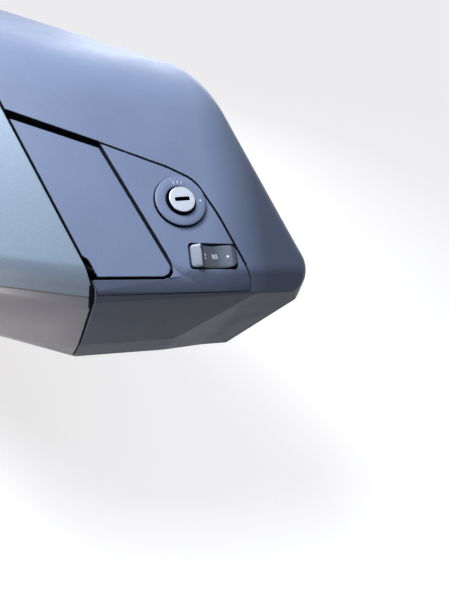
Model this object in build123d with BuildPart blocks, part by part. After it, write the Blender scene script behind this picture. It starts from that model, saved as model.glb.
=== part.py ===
from build123d import *
from math import cos, radians, sin, tan
import os

os.makedirs("parts", exist_ok=True)

# Motorcycle side case, right-hand side, lengths in millimetres.
# +X runs forward along the lid joint, +Y points inboard to the motorcycle, +Z is up.
# The origin is the mouth of the front mounting socket on the inboard side.

# Lock, which places the sloping control face
lock_x = 120.0
lock_y = -96.0
lock_z = 110.0

# Main planes of the case
inboard_y = -12.0
parting_y = -176.0
outboard_y = -270.0
bottom_z = -175.0
wall = 3.5
parting_gap = 2.5

# Side profile, measured at the lock's own Y
slope_fall = 0.602
lip_forward = 48.0
crease_forward = 58.0
crease_drop = 45.0
band_undercut = 15.0
knee_back = 109.0
knee_radius = 115.0
top_fall = 7.5

# Rear outline
rear_x = -335.0
rear_tuck_z = 30.0
rear_foot_x = -288.0
rear_foot_radius = 36.0

# The front runs forward as it goes inboard, and the lid's front runs back more quickly
sweep = 0.4865
crease_fall = -0.037
lid_sweep = 0.86
lid_fall = 0.0

# Plan corners
nose_radius = 22.0
rear_inner_radius = 45.0
rear_outer_radius = 70.0
nose_margin = 0.5
side_crown = 8.0

# Keel facet under the front band, and the underside that it turns into
keel_undercut = 22.0
band_height = 63.0
keel_turn_outer = -14.0
keel_turn_inner = 28.0
keel_step = 8.0
keel_turn_radius = 60.0
under_undercut = 54.0
under_drop = 84.0
under_lid_sweep = 0.674
under_lid_fall = -0.58

# Bevel of the nose's lower inboard corner, through a point on its front edge
bevel_point = (192.0, -35.0, 24.0)
bevel_fall = 0.708

# The inboard side leans away from the wheel below this height
tuck_z = -60.0
tuck_depth = 52.0

# Rounded edges
rim_radius = 15.0
lip_radius = 14.0
crease_radius = 2.0

# Working length of the prisms that shape the case
reach = 700.0

# Control face, in its own plane: u runs inboard along the crease, w runs up the slope
crease_dir = Vector(sweep, 1, crease_fall).normalized()
slope_normal = Vector(slope_fall, -(sweep * slope_fall + crease_fall), 1).normalized()
control = Plane(origin=(lock_x, lock_y, lock_z), x_dir=crease_dir, z_dir=slope_normal)

# Seams
seat_gap = 0.3
panel_seam = 0.5
panel_skin = 5.0
pad_depth = 5.0
pad_margin = 6.0

# Lock
lock_hole_radius = 14.0
bezel_radius = 20.0
bezel_height = 1.8
bezel_bore = 10.8
key_face_radius = 9.8
key_face_height = 3.4
key_slot_length = 10.0
key_slot_width = 2.4
key_slot_depth = 6.0
lock_body_radius = 13.0
lock_depth = 36.0

# Rocker button
rocker_u = 21.0
rocker_w = -41.7
rocker_length = 36.0
rocker_width = 18.0
rocker_corner = 3.0
rocker_gap = 1.0
rocker_depth = 12.0
rocker_proud = 2.6
rocker_dish_radius = 46.0
rocker_ridge_u = -12.0

# Lock panel outline, which runs round the handle bay and down over the lip
panel_bottom_w = -66.8
panel_low_right = (51.5, -59.0)
panel_mid_right = (29.5, -8.0)
panel_top_right = (13.5, 19.5)
panel_top = (-7.0, 28.3)
panel_bend_radius = 24.0
panel_side_radius = 120.0
panel_reach = 10.5

# Handle bay, where the flap lies lower than the control face
flap_drop = 2.5
bay_top_w = 59.5
bay_bottom_w = -58.0
bay_top_right_u = -55.3
bay_top_right_w = 43.3
bay_bottom_right_u = -5.5
bay_wall = 2.2
bay_depth = 32.0
bay_corner = 8.0
ramp_top = (-10.4, -44.0)
ramp_lip = (-0.5, -53.4)
ramp_foot = (-7.5, -51.5)

# Carry handle flap
flap_lid_gap = 2.4
flap_side_gap = 2.0
flap_top_gap = 4.0
flap_bottom_gap = 2.0
flap_thickness = 2.2
flap_corner = 6.0
flap_clearance = 0.8
skirt_inset = 8.0
skirt_depth = 6.0
skirt_wall = 2.0
skirt_from_pivot = 5.0
pivot_inset = 6.0
pivot_drop = 4.0
pivot_pin_radius = 1.4
pivot_barrel_radius = 2.6
pivot_side_gap = 0.7
lug_radius = 2.4
lug_back = 4.4
lug_front = -1.0
sweep_clearance = 0.6
barrel_right_u = -17.0
running_fit = 0.06

# Lid
lid_skin = 2.6
lid_wall = 3.0
panel_line_z = 64.0
panel_line_gap = 1.5
seal_inset = 1.0
seal_width = 2.2

# Lid hinges
hinge_xs = (-140.0, -226.0)
hinge_length = 42.0
hinge_drop = 4.0
hinge_barrel_radius = 3.6
hinge_pin_radius = 2.0
hinge_leaf_thickness = 2.0
hinge_leaf_start = 5.0
hinge_leaf_width = 26.0
hinge_knuckle_gap = 0.4

# Lid latches
latch_xs = (-95.0, -235.0)
latch_tongue_width = 18.0
latch_tongue_thickness = 3.0
latch_tongue_reach = 16.0
latch_tongue_root = 22.0
latch_root_block = 10.0
latch_below_top = 14.0
latch_clearance = 2.5
latch_housing_wall = 2.5

# Inboard mounting plate, sockets and latch bar
plate_front_x = 46.0
plate_rear_x = -256.0
plate_top_z = 88.0
plate_bottom_z = -34.0
plate_base = 4.0
plate_corner = 22.0
socket_xs = (0.0, -210.0)
socket_radius = 9.0
socket_boss_radius = 16.0
socket_depth = 11.0
bar_x = -105.0
bar_z = 58.0
bar_radius = 4.0
bar_span = 36.0
bar_ear = 8.0
bar_ear_height = 26.0
bar_back = 2.0
rib_thickness = 3.0
rib_drop = 3.0
buffer_xs = (-52.0, -158.0)
buffer_z = -19.0
buffer_radius = 9.0
buffer_height = 10.0

# Bottom runners and rear reflector
runner_ys = (-103.0, -213.0)
runner_length = 84.0
runner_width = 10.0
runner_height = 3.0
runner_x = -205.0
reflector_y = -110.0
reflector_z = 70.0
reflector_length = 70.0
reflector_height = 26.0
reflector_thickness = 4.0
reflector_sunk = 2.2


def front_prism(inset, lid, soft=False):
    """Top, control slope, lip and front band, swept along the crease of the body or the lid."""
    knee_x = lock_x - knee_back
    knee_z = lock_z + slope_fall * knee_back
    crease_x = lock_x + crease_forward
    crease_z = lock_z - crease_drop
    lead = reach / 4
    turn = parting_y if lid else lock_y
    side_sweep = lid_sweep if lid else sweep
    side_fall = lid_fall if lid else crease_fall
    shift_x = (turn - lock_y) * sweep + lead * side_sweep
    shift_z = (turn - lock_y) * crease_fall + lead * side_fall
    sketch_plane = Plane(origin=(shift_x, turn + lead, shift_z), x_dir=(1, 0, 0), z_dir=(0, -1, 0))
    with BuildPart() as prism:
        with BuildSketch(sketch_plane) as profile:
            with BuildLine():
                Polyline(
                    (lock_x + lip_forward, lock_z - slope_fall * lip_forward),
                    (crease_x, crease_z),
                    (crease_x - reach * tan(radians(band_undercut)), crease_z - reach),
                    (-reach, crease_z - reach),
                    (-reach, knee_z - (knee_x + reach) * tan(radians(top_fall))),
                    (knee_x, knee_z),
                    close=True,
                )
            make_face()
            fillet(profile.vertices().sort_by(Axis.Y)[-1], knee_radius)
            if soft:
                lip = (lock_x + lip_forward, lock_z - slope_fall * lip_forward, 0)
                fillet(profile.vertices().sort_by_distance(lip)[0], lip_radius)
                crease = (crease_x, crease_z, 0)
                fillet(profile.vertices().sort_by_distance(crease)[0], crease_radius)
            if inset:
                offset(amount=-inset, kind=Kind.INTERSECTION)
        extrude(amount=reach * 1.2, dir=(-side_sweep, -1, -side_fall))
    return prism.part


def rear_prism(inset):
    """Bottom and the leaning foot of the rear end, straight across the case."""
    lean = (rear_foot_x - rear_x) / (rear_tuck_z - bottom_z)
    with BuildPart() as prism:
        with BuildSketch(Plane.XZ.offset(-reach / 4)) as profile:
            with BuildLine():
                Polyline(
                    (reach, bottom_z),
                    (rear_foot_x, bottom_z),
                    (rear_foot_x - reach * lean, bottom_z + reach),
                    (reach, bottom_z + reach),
                    close=True,
                )
            make_face()
            fillet(profile.vertices().group_by(Axis.Y)[0].sort_by(Axis.X)[0], rear_foot_radius)
            if inset:
                offset(amount=-inset, kind=Kind.INTERSECTION)
        extrude(amount=reach)
    return prism.part


def plan_prism(inset, lid):
    """Plan outline with the rounded nose and the crowned outboard side."""
    crease_x = lock_x + crease_forward + nose_margin
    turn_x = crease_x + (parting_y - lock_y) * sweep
    side_sweep = lid_sweep if lid else sweep
    nose_x = turn_x + (inboard_y - parting_y) * side_sweep
    outer_x = turn_x + (outboard_y - parting_y) * side_sweep
    middle_x = (outer_x + rear_x) / 2
    with BuildPart() as prism:
        with BuildSketch(Plane.XY.offset(-reach / 2)) as outline:
            with BuildLine():
                Polyline(
                    (outer_x, outboard_y + side_crown),
                    (nose_x, inboard_y),
                    (rear_x, inboard_y),
                    (rear_x, outboard_y + side_crown),
                )
                ThreePointArc(
                    (rear_x, outboard_y + side_crown),
                    (middle_x, outboard_y),
                    (outer_x, outboard_y + side_crown),
                )
            make_face()
            fillet(outline.vertices().sort_by(Axis.X)[-1], nose_radius)
            rear = outline.vertices().group_by(Axis.X)[0]
            fillet(rear.sort_by(Axis.Y)[-1], rear_inner_radius)
            rear = outline.vertices().group_by(Axis.X)[0]
            fillet(rear.sort_by(Axis.Y)[0], rear_outer_radius)
            if inset:
                offset(amount=-inset, kind=Kind.INTERSECTION)
        extrude(amount=reach)
    return prism.part


def lower_prism(inset, lean_degrees, drop, step, side_sweep, side_fall):
    """Facet under the front, which starts a given height under the crease and leans back."""
    lean = radians(lean_degrees)
    start_z = lock_z - crease_drop - drop
    start_x = lock_x + crease_forward - band_height * tan(radians(band_undercut))
    start_x -= (drop - band_height) * tan(radians(keel_undercut))
    rise = cos(lean) * sweep - sin(lean) * crease_fall
    lid_rise = cos(lean) * side_sweep - sin(lean) * side_fall
    turn = parting_y - lock_y
    facet_plane = Plane(
        origin=(start_x, lock_y, start_z),
        x_dir=(0, 1, 0),
        z_dir=(-sin(lean), 0, -cos(lean)),
    )
    with BuildPart() as prism:
        with BuildSketch(facet_plane.offset(-reach / 2)) as profile:
            with BuildLine():
                Polyline(
                    (-reach / 2, turn * rise - (reach / 2 + turn) * lid_rise),
                    (turn, turn * rise),
                    (keel_turn_outer, keel_turn_outer * rise),
                    (keel_turn_inner, keel_turn_inner * rise - step),
                    (reach / 2, reach / 2 * rise - step),
                    (reach / 2, -reach),
                    (-reach / 2, -reach),
                    close=True,
                )
            make_face()
            if step:
                turns = profile.vertices().filter_by_position(
                    Axis.X, keel_turn_outer, keel_turn_inner
                )
                fillet(turns, keel_turn_radius)
            if inset:
                offset(amount=-inset, kind=Kind.INTERSECTION)
        extrude(amount=reach * 1.4)
    return prism.part


def keel_prism(inset):
    """Facet right under the front band, with the step up to the nose corner."""
    return lower_prism(inset, keel_undercut, band_height, keel_step, lid_sweep, lid_fall)


def under_prism(inset):
    """Underside of the front, which rises towards the outboard side of the lid."""
    return lower_prism(inset, under_undercut, under_drop, 0, under_lid_sweep, under_lid_fall)


def bevel_block(inset):
    """What the bevel takes off the nose's lower inboard corner."""
    outward = Vector(1, 1, -bevel_fall).normalized()
    corner = Vector(*bevel_point) - outward * inset
    with BuildPart() as block:
        with BuildSketch(Plane(origin=corner, x_dir=(1, -1, 0), z_dir=outward)):
            Rectangle(2 * reach, 2 * reach)
        extrude(amount=reach)
    return block.part


def tuck_prism(inset):
    """Inboard side, leaning outboard towards the bottom."""
    slope = tuck_depth / (tuck_z - bottom_z)
    with BuildPart() as prism:
        with BuildSketch(Plane.YZ.offset(-reach)) as profile:
            with BuildLine():
                Polyline(
                    (inboard_y + 1, reach),
                    (inboard_y + 1, tuck_z + 1 / slope),
                    (inboard_y + 1 - slope * reach, tuck_z - reach + 1 / slope),
                    (-reach, -reach),
                    (-reach, reach),
                    close=True,
                )
            make_face()
            if inset:
                offset(amount=-inset, kind=Kind.INTERSECTION)
        extrude(amount=2 * reach)
    return prism.part


def case_form(inset, lid):
    """The closed case as the body or the lid carries it on, with every face set in."""
    with BuildPart() as form:
        add(front_prism(inset, lid))
        add(rear_prism(inset), mode=Mode.INTERSECT)
        add(plan_prism(inset, lid), mode=Mode.INTERSECT)
        add(keel_prism(inset), mode=Mode.INTERSECT)
        add(under_prism(inset), mode=Mode.INTERSECT)
        add(tuck_prism(inset), mode=Mode.INTERSECT)
        if not lid:
            add(bevel_block(inset), mode=Mode.SUBTRACT)
    return form.part


def rounded_form(inset, lid=False):
    """The case form with its upper edge rounded all the way round."""
    form = case_form(inset, lid)
    rear_edges = form.edges().filter_by_position(Axis.X, rear_x + inset - 0.1, rear_x + inset + 0.1)
    top_edge = rear_edges.sort_by(Axis.Z)[-1]
    return form.fillet(rim_radius - inset, [top_edge])


def soft_form(lid):
    """The outside of the case, with its lip and its crease rounded as well."""
    with BuildPart() as form:
        add(rounded_form(0, lid))
        add(front_prism(0, lid, True), mode=Mode.INTERSECT)
    return form.part


def prism_on(outline, low, high):
    """A prism on an outline of the control face, between two heights over that face."""
    with BuildPart() as prism:
        extrude(outline.moved(Location(control.z_dir * low)), amount=high - low)
    return prism.part


def bay_edge_u(w, y):
    """Where the line at this Y crosses the control face at height w."""
    return (y - lock_y - w * control.y_dir.Y) / control.x_dir.Y


def bay_outline(left_y, side, top, bottom, corner):
    """Outline of the handle bay, or of a piece that stands in from its edges."""
    slant = (bay_bottom_right_u - bay_top_right_u) / (bay_top_right_w - bay_bottom_w)
    rise = (bay_top_w - bay_top_right_w) / (bay_top_right_u - bay_edge_u(bay_top_w, parting_y))
    low_w = bay_bottom_w + bottom
    high_right_w = bay_top_right_w - top
    low_right_u = bay_bottom_right_u - side - bottom * slant
    high_right_u = bay_top_right_u - side + top * slant
    level_w = high_right_w + rise * high_right_u
    lean = control.y_dir.Y
    high_u = (left_y - lock_y - lean * level_w) / (control.x_dir.Y - lean * rise)
    with BuildSketch(control) as outline:
        with BuildLine():
            Polyline(
                (high_u, level_w - rise * high_u),
                (bay_edge_u(low_w, left_y), low_w),
                (low_right_u, low_w),
                (high_right_u, high_right_w),
                close=True,
            )
        make_face()
        if corner:
            fillet(outline.vertices().group_by(Axis.Y)[0].sort_by(Axis.X)[-1], corner)
    return outline.sketch


def panel_outline(inset, margin):
    """Outline of the lock panel with the bay in it, down over the lip to the crease."""
    middle_w = (bay_bottom_w + bay_top_right_w) / 2
    with BuildSketch(control) as outline:
        with BuildLine():
            Polyline(
                (bay_edge_u(panel_bottom_w, parting_y - 1), panel_bottom_w),
                (bay_edge_u(bay_bottom_w + bay_corner, parting_y - 1), bay_bottom_w + bay_corner),
                (bay_bottom_right_u - 2 * bay_corner, bay_bottom_w + bay_corner),
                (bay_top_right_u - flap_side_gap, middle_w),
                (bay_top_right_u - flap_side_gap, bay_top_right_w),
                panel_top,
                panel_top_right,
                panel_mid_right,
                panel_low_right,
                (panel_low_right[0], panel_bottom_w),
                close=True,
            )
        make_face()
        fillet(outline.vertices().sort_by_distance((*panel_top_right, 0))[0], panel_bend_radius)
        fillet(outline.vertices().sort_by_distance((*panel_mid_right, 0))[0], panel_side_radius)
        if inset or margin:
            offset(amount=margin - inset, kind=Kind.INTERSECTION)
    return outline.sketch


recess_depth = flap_drop + flap_thickness + flap_clearance
beyond_y = parting_y - 20
bay_hole = bay_outline(beyond_y, 0, 0, 0, bay_corner)
bay_tub = bay_outline(parting_y, seat_gap, seat_gap, seat_gap, bay_corner)
inner_side = seat_gap + bay_wall
bay_inside = bay_outline(parting_y + bay_wall, inner_side, inner_side, inner_side, bay_corner)
pivot_w = bay_bottom_w + flap_bottom_gap + pivot_inset
pivot_n = -(flap_drop + pivot_drop)
sweep_radius = (pivot_inset ** 2 + pivot_drop ** 2) ** 0.5 + sweep_clearance

bay_span = 2 * (bay_top_w - bay_bottom_w)
pivot_plane = Plane(
    origin=control.from_local_coords(Vector(-bay_span, pivot_w, pivot_n)),
    x_dir=control.y_dir,
    z_dir=control.x_dir,
)

outer_form = soft_form(False)
inner_form = rounded_form(wall)


# Thicker wall behind the control face, which carries the panel and the bay
with BuildPart() as pad_area:
    extrude(panel_outline(0, pad_margin), amount=40, both=True)
    extrude(bay_outline(parting_y - 1, -pad_margin, -pad_margin, 0, 0), amount=40, both=True)

with BuildPart() as seat_pad:
    add(rounded_form(wall - 0.2))
    add(rounded_form(wall + pad_depth), mode=Mode.SUBTRACT)
    add(pad_area.part, mode=Mode.INTERSECT)

# Skin of the lock panel and the pocket that it lies in
panel_area = prism_on(panel_outline(panel_seam, 0), -panel_reach, 20)
pocket_area = prism_on(panel_outline(0, 0), -panel_reach - seat_gap, 20)

with BuildPart() as panel_pocket:
    add(outer_form)
    add(rounded_form(panel_skin + seat_gap), mode=Mode.SUBTRACT)
    add(pocket_area, mode=Mode.INTERSECT)

rocker_hole = (rocker_length + 2 * rocker_gap, rocker_width + 2 * rocker_gap)

# Low part of the lock panel under the flap, with the ramp that leads down to it
ramp_high = control.from_local_coords(Vector(*ramp_top, 0))
ramp_right = control.from_local_coords(Vector(*ramp_lip, 0))
ramp_low = control.from_local_coords(Vector(*ramp_foot, -flap_drop))
ramp_normal = (ramp_low - ramp_high).cross(ramp_right - ramp_high).normalized()
with BuildPart() as low_cut:
    with BuildSketch(Plane(origin=ramp_high, x_dir=ramp_right - ramp_high, z_dir=ramp_normal)):
        Rectangle(reach, reach, align=(Align.CENTER, Align.MAX))
    extrude(amount=40)
    with BuildSketch(control.offset(-flap_drop)):
        Rectangle(reach, reach)
    extrude(amount=40, mode=Mode.INTERSECT)

# Body shell
with BuildPart() as body_shell:
    add(outer_form)
    add(inner_form, mode=Mode.SUBTRACT)
    add(seat_pad.part)
    add(panel_pocket.part, mode=Mode.SUBTRACT)
    add(prism_on(bay_hole, -bay_depth - 5, 20), mode=Mode.SUBTRACT)
    with BuildSketch(control.offset(-20)):
        Circle(lock_hole_radius + seat_gap)
        with Locations((rocker_u, rocker_w)):
            Rectangle(*rocker_hole)
    extrude(amount=30, mode=Mode.SUBTRACT)
    split(bisect_by=Plane.XZ.offset(-parting_y), keep=Keep.BOTTOM)
    with BuildSketch(Plane.YZ.offset(rear_x)):
        with Locations((reflector_y, reflector_z)):
            RectangleRounded(reflector_length, reflector_height, 6)
    extrude(amount=reflector_sunk, mode=Mode.SUBTRACT)
body_shell.part.label = "body_shell"
export_step(body_shell.part, "parts/body_shell.step")

# Lock panel
with BuildPart() as lock_panel:
    add(outer_form)
    add(rounded_form(panel_skin), mode=Mode.SUBTRACT)
    add(panel_area, mode=Mode.INTERSECT)
    add(prism_on(bay_hole, -bay_depth, 20), mode=Mode.SUBTRACT)
    add(low_cut.part, mode=Mode.SUBTRACT)
    split(bisect_by=Plane.XZ.offset(-parting_y), keep=Keep.BOTTOM)
    with BuildSketch(control.offset(-20)):
        Circle(lock_hole_radius)
        with Locations((rocker_u, rocker_w)):
            RectangleRounded(*rocker_hole, rocker_corner)
    extrude(amount=40, mode=Mode.SUBTRACT)
lock_panel.part.label = "lock_panel"
export_step(lock_panel.part, "parts/lock_panel.step")

# Lock bezel ring
with BuildPart() as lock_bezel:
    with BuildSketch(control):
        Circle(bezel_radius)
        Circle(bezel_bore, mode=Mode.SUBTRACT)
    extrude(amount=bezel_height)
    with BuildSketch(control):
        Circle(lock_hole_radius - seat_gap)
        Circle(bezel_bore, mode=Mode.SUBTRACT)
    extrude(amount=-wall - pad_depth + seat_gap)
    fillet(lock_bezel.edges().filter_by(GeomType.CIRCLE).sort_by(SortBy.RADIUS)[-1], 0.4)
lock_bezel.part.label = "lock_bezel"
export_step(lock_bezel.part, "parts/lock_bezel.step")

# Lock cylinder with its key slot
with BuildPart() as lock_cylinder:
    with BuildSketch(control.offset(-lock_depth)):
        Circle(bezel_bore - 0.5)
    extrude(amount=lock_depth)
    with BuildSketch(control):
        Circle(key_face_radius)
    extrude(amount=key_face_height)
    with BuildSketch(control.offset(key_face_height)):
        SlotOverall(key_slot_length, key_slot_width)
    extrude(amount=-key_slot_depth, mode=Mode.SUBTRACT)
lock_cylinder.part.label = "lock_cylinder"
export_step(lock_cylinder.part, "parts/lock_cylinder.step")

# Rocker button with its ridge and its finger dish
rocker_plane = Plane(
    origin=control.from_local_coords(Vector(rocker_u, rocker_w, 0)),
    x_dir=control.x_dir,
    z_dir=control.z_dir,
)
with BuildPart() as rocker_button:
    with BuildSketch(rocker_plane.offset(-rocker_depth)):
        RectangleRounded(rocker_length, rocker_width, rocker_corner - rocker_gap)
    extrude(amount=rocker_depth + rocker_proud)
    side_plane = Plane(
        origin=rocker_plane.from_local_coords(Vector(0, -rocker_width, 0)),
        x_dir=rocker_plane.x_dir,
        z_dir=-rocker_plane.y_dir,
    )
    with BuildSketch(side_plane):
        with BuildLine():
            Polyline(
                (-rocker_length, rocker_proud - 3.4),
                (rocker_ridge_u, rocker_proud + 0.2),
                (-rocker_length, rocker_proud + 8),
                close=True,
            )
        make_face()
        with Locations((6, rocker_proud + rocker_dish_radius - 2.2)):
            Circle(rocker_dish_radius)
    extrude(amount=-3 * rocker_width, mode=Mode.SUBTRACT)
rocker_button.part.label = "rocker_button"
export_step(rocker_button.part, "parts/rocker_button.step")

# Handle bay tub, with a lug at each end of the pin and room for the flap's lower edge
with BuildPart() as lugs:
    with BuildSketch(pivot_plane):
        Circle(lug_radius)
        with BuildLine():
            Polyline(
                (lug_front, 0),
                (lug_back, 0),
                (lug_back, -bay_depth),
                (lug_front, -bay_depth),
                close=True,
            )
        make_face()
    extrude(amount=2 * bay_span)

with BuildPart() as flap_room:
    add(prism_on(bay_outline(beyond_y, -pad_margin, -pad_margin, -pad_margin, 0), -recess_depth, 20))
    with BuildSketch(pivot_plane):
        Circle(sweep_radius)
    extrude(amount=2 * bay_span)
    add(lugs.part, mode=Mode.SUBTRACT)

with BuildPart() as handle_bay:
    add(prism_on(bay_tub, -bay_depth, 0))
    add(prism_on(bay_inside, -bay_depth + bay_wall, 5), mode=Mode.SUBTRACT)
    add(flap_room.part, mode=Mode.SUBTRACT)
    with BuildSketch(pivot_plane):
        Circle(pivot_pin_radius + 0.01)
    extrude(amount=2 * bay_span, mode=Mode.SUBTRACT)
handle_bay.part.label = "handle_bay"
export_step(handle_bay.part, "parts/handle_bay.step")

# Pin of the carry handle, held in both walls of the bay
with BuildPart() as handle_pin:
    with BuildSketch(pivot_plane):
        Circle(pivot_pin_radius)
    extrude(amount=2 * bay_span)
    add(prism_on(bay_tub, -bay_depth, 0), mode=Mode.INTERSECT)
handle_pin.part.label = "handle_pin"
export_step(handle_pin.part, "parts/handle_pin.step")

# Carry handle flap: a plate with a stiffening skirt and a barrel round the pin
flap_under = -(flap_drop + flap_thickness)
flap_outline = bay_outline(
    parting_y + flap_lid_gap, flap_side_gap, flap_top_gap, flap_bottom_gap, flap_corner
)
skirt_foot = flap_bottom_gap + pivot_inset + skirt_from_pivot
skirt_outer = bay_outline(
    parting_y + skirt_inset, skirt_inset, flap_top_gap + skirt_inset, skirt_foot, 0
)
skirt_in = skirt_inset + skirt_wall
skirt_inner = bay_outline(
    parting_y + skirt_in, skirt_in, flap_top_gap + skirt_in, skirt_foot - skirt_wall, 0
)
barrel_low_w = pivot_w - pivot_barrel_radius
barrel_left_u = bay_edge_u(barrel_low_w, parting_y + bay_wall) + pivot_side_gap

with BuildPart() as handle_flap:
    add(prism_on(flap_outline, flap_under, -flap_drop))
    for start_u, length in ((-bay_span, barrel_left_u + bay_span), (barrel_right_u, bay_span)):
        with BuildSketch(pivot_plane.offset(start_u + bay_span)):
            Circle(lug_radius + sweep_clearance)
        extrude(amount=length, mode=Mode.SUBTRACT)
    add(prism_on(skirt_outer, flap_under - skirt_depth, flap_under + 0.5))
    add(prism_on(skirt_inner, flap_under - skirt_depth - 1, flap_under), mode=Mode.SUBTRACT)
    with BuildSketch(pivot_plane.offset(barrel_left_u + bay_span)):
        Circle(pivot_barrel_radius)
    extrude(amount=barrel_right_u - barrel_left_u)
    with BuildSketch(pivot_plane):
        Circle(pivot_pin_radius + running_fit)
    extrude(amount=2 * bay_span, mode=Mode.SUBTRACT)
handle_flap.part.label = "handle_flap"
export_step(handle_flap.part, "parts/handle_flap.step")

# Lid: a painted skin over the upper part, and a dark shell inside and below it
lid_y = parting_y - parting_gap


def above_line(lift):
    """Everything above the lower edge of the painted skin."""
    with BuildPart() as prism:
        with BuildSketch(Plane.XY.offset(panel_line_z + lift)):
            Rectangle(4 * reach, 4 * reach)
        extrude(amount=reach)
    return prism.part


lid_form = soft_form(True)

with BuildPart() as lid_panel:
    add(lid_form)
    add(rounded_form(lid_skin, True), mode=Mode.SUBTRACT)
    add(above_line(0), mode=Mode.INTERSECT)
    split(bisect_by=Plane.XZ.offset(-lid_y), keep=Keep.TOP)
lid_panel.part.label = "lid_panel"
export_step(lid_panel.part, "parts/lid_panel.step")

with BuildPart() as lid_band:
    add(lid_form)
    add(above_line(-panel_line_gap), mode=Mode.SUBTRACT)

with BuildPart() as lid_shell:
    add(rounded_form(lid_skin + seat_gap, True))
    add(lid_band.part)
    add(rounded_form(lid_skin + seat_gap + lid_wall, True), mode=Mode.SUBTRACT)
    split(bisect_by=Plane.XZ.offset(-lid_y), keep=Keep.TOP)
lid_shell.part.label = "lid_shell"
export_step(lid_shell.part, "parts/lid_shell.step")

# Seal in the lid joint, open where the carry handle swings out
with BuildPart() as lid_seal:
    add(rounded_form(seal_inset))
    add(rounded_form(seal_inset + seal_width), mode=Mode.SUBTRACT)
    split(bisect_by=Plane.XZ.offset(-lid_y), keep=Keep.BOTTOM)
    split(bisect_by=Plane.XZ.offset(-(parting_y - seat_gap)), keep=Keep.TOP)
    add(prism_on(bay_outline(beyond_y, 0, -2, -2, 0), -recess_depth, 20), mode=Mode.SUBTRACT)
lid_seal.part.label = "lid_seal"
export_step(lid_seal.part, "parts/lid_seal.step")

# Lid hinges under the bottom edge
hinge_y = parting_y - parting_gap / 2
hinge_z = bottom_z - hinge_drop
knuckle = hinge_length / 3


def hinge_pieces(side, first, last):
    """Leaves of one side, with their barrels in the given thirds of each hinge."""
    leaf_low = bottom_z - hinge_leaf_thickness
    with BuildPart() as leaves:
        for centre in hinge_xs:
            with BuildSketch(Plane.XY.offset(leaf_low)):
                with Locations((centre, hinge_y + side * (hinge_leaf_start + hinge_leaf_width) / 2)):
                    Rectangle(hinge_length, hinge_leaf_width - hinge_leaf_start)
            extrude(amount=hinge_leaf_thickness)
            for third in range(first, last + 1, 2):
                low_x = centre - hinge_length / 2 + third * knuckle + hinge_knuckle_gap / 2
                with BuildSketch(Plane.YZ.offset(low_x)):
                    with Locations((hinge_y, hinge_z)):
                        Circle(hinge_barrel_radius)
                    with BuildLine():
                        Polyline(
                            (hinge_y, bottom_z - 0.5),
                            (hinge_y + side * hinge_leaf_start, bottom_z),
                            (hinge_y + side * hinge_leaf_start, leaf_low),
                            (hinge_y + side * hinge_barrel_radius * 0.9, hinge_z),
                            (hinge_y, hinge_z),
                            close=True,
                        )
                    make_face()
                extrude(amount=knuckle - hinge_knuckle_gap)
        with BuildSketch(Plane.YZ.offset(-reach)):
            with Locations((hinge_y, hinge_z)):
                Circle(hinge_pin_radius + running_fit)
        extrude(amount=2 * reach, mode=Mode.SUBTRACT)
    return leaves.part


with BuildPart() as body_hinges:
    add(hinge_pieces(1, 0, 2))
body_hinges.part.label = "body_hinges"
export_step(body_hinges.part, "parts/body_hinges.step")

with BuildPart() as lid_hinges:
    add(hinge_pieces(-1, 1, 1))
lid_hinges.part.label = "lid_hinges"
export_step(lid_hinges.part, "parts/lid_hinges.step")

with BuildPart() as hinge_pins:
    for centre in hinge_xs:
        with BuildSketch(Plane.YZ.offset(centre - hinge_length / 2)):
            with Locations((hinge_y, hinge_z)):
                Circle(hinge_pin_radius)
        extrude(amount=hinge_length)
hinge_pins.part.label = "hinge_pins"
export_step(hinge_pins.part, "parts/hinge_pins.step")

# Latch tongues on the lid and their housings in the body
under_body = rounded_form(wall + 0.1)
under_lid = rounded_form(lid_skin + seat_gap + lid_wall + 0.1, True)


def roof_z(x):
    """Height of the inside of the top at the lid joint, behind the knee."""
    run = parting_y - lock_y
    knee_x = lock_x - knee_back
    knee_z = lock_z + slope_fall * knee_back
    return knee_z - (knee_x - x + run * sweep) * tan(radians(top_fall)) + run * crease_fall - wall


def block(low, high):
    """A plain block between two corners."""
    size = Vector(*high) - Vector(*low)
    with BuildPart() as body:
        with Locations(Vector(*low) + size * 0.5):
            Box(size.X, size.Y, size.Z)
    return body.part


tongue_tip = parting_y + latch_tongue_reach
tongue_half = latch_tongue_width / 2
with BuildPart() as latch_tongues:
    for centre in latch_xs:
        low_z = roof_z(centre) - latch_below_top
        left, right = centre - tongue_half, centre + tongue_half
        root = parting_y - latch_tongue_root
        add(block((left, root, low_z), (right, tongue_tip, low_z + latch_tongue_thickness)))
        add(block((left, root, low_z), (right, root + latch_root_block, low_z + 60)))
    add(under_lid, mode=Mode.INTERSECT)
latch_tongues.part.label = "latch_tongues"
export_step(latch_tongues.part, "parts/latch_tongues.step")

with BuildPart() as latch_housings:
    for centre in latch_xs:
        low_z = roof_z(centre) - latch_below_top
        room = latch_clearance
        shell = latch_clearance + latch_housing_wall
        add(block(
            (centre - tongue_half - shell, parting_y + 1, low_z - shell),
            (centre + tongue_half + shell, tongue_tip + shell, low_z + 60),
        ))
    add(under_body, mode=Mode.INTERSECT)
    for centre in latch_xs:
        low_z = roof_z(centre) - latch_below_top
        add(block(
            (centre - tongue_half - room, parting_y - 5, low_z - room),
            (centre + tongue_half + room, tongue_tip + room, low_z + latch_tongue_thickness + room),
        ), mode=Mode.SUBTRACT)
latch_housings.part.label = "latch_housings"
export_step(latch_housings.part, "parts/latch_housings.step")

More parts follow.
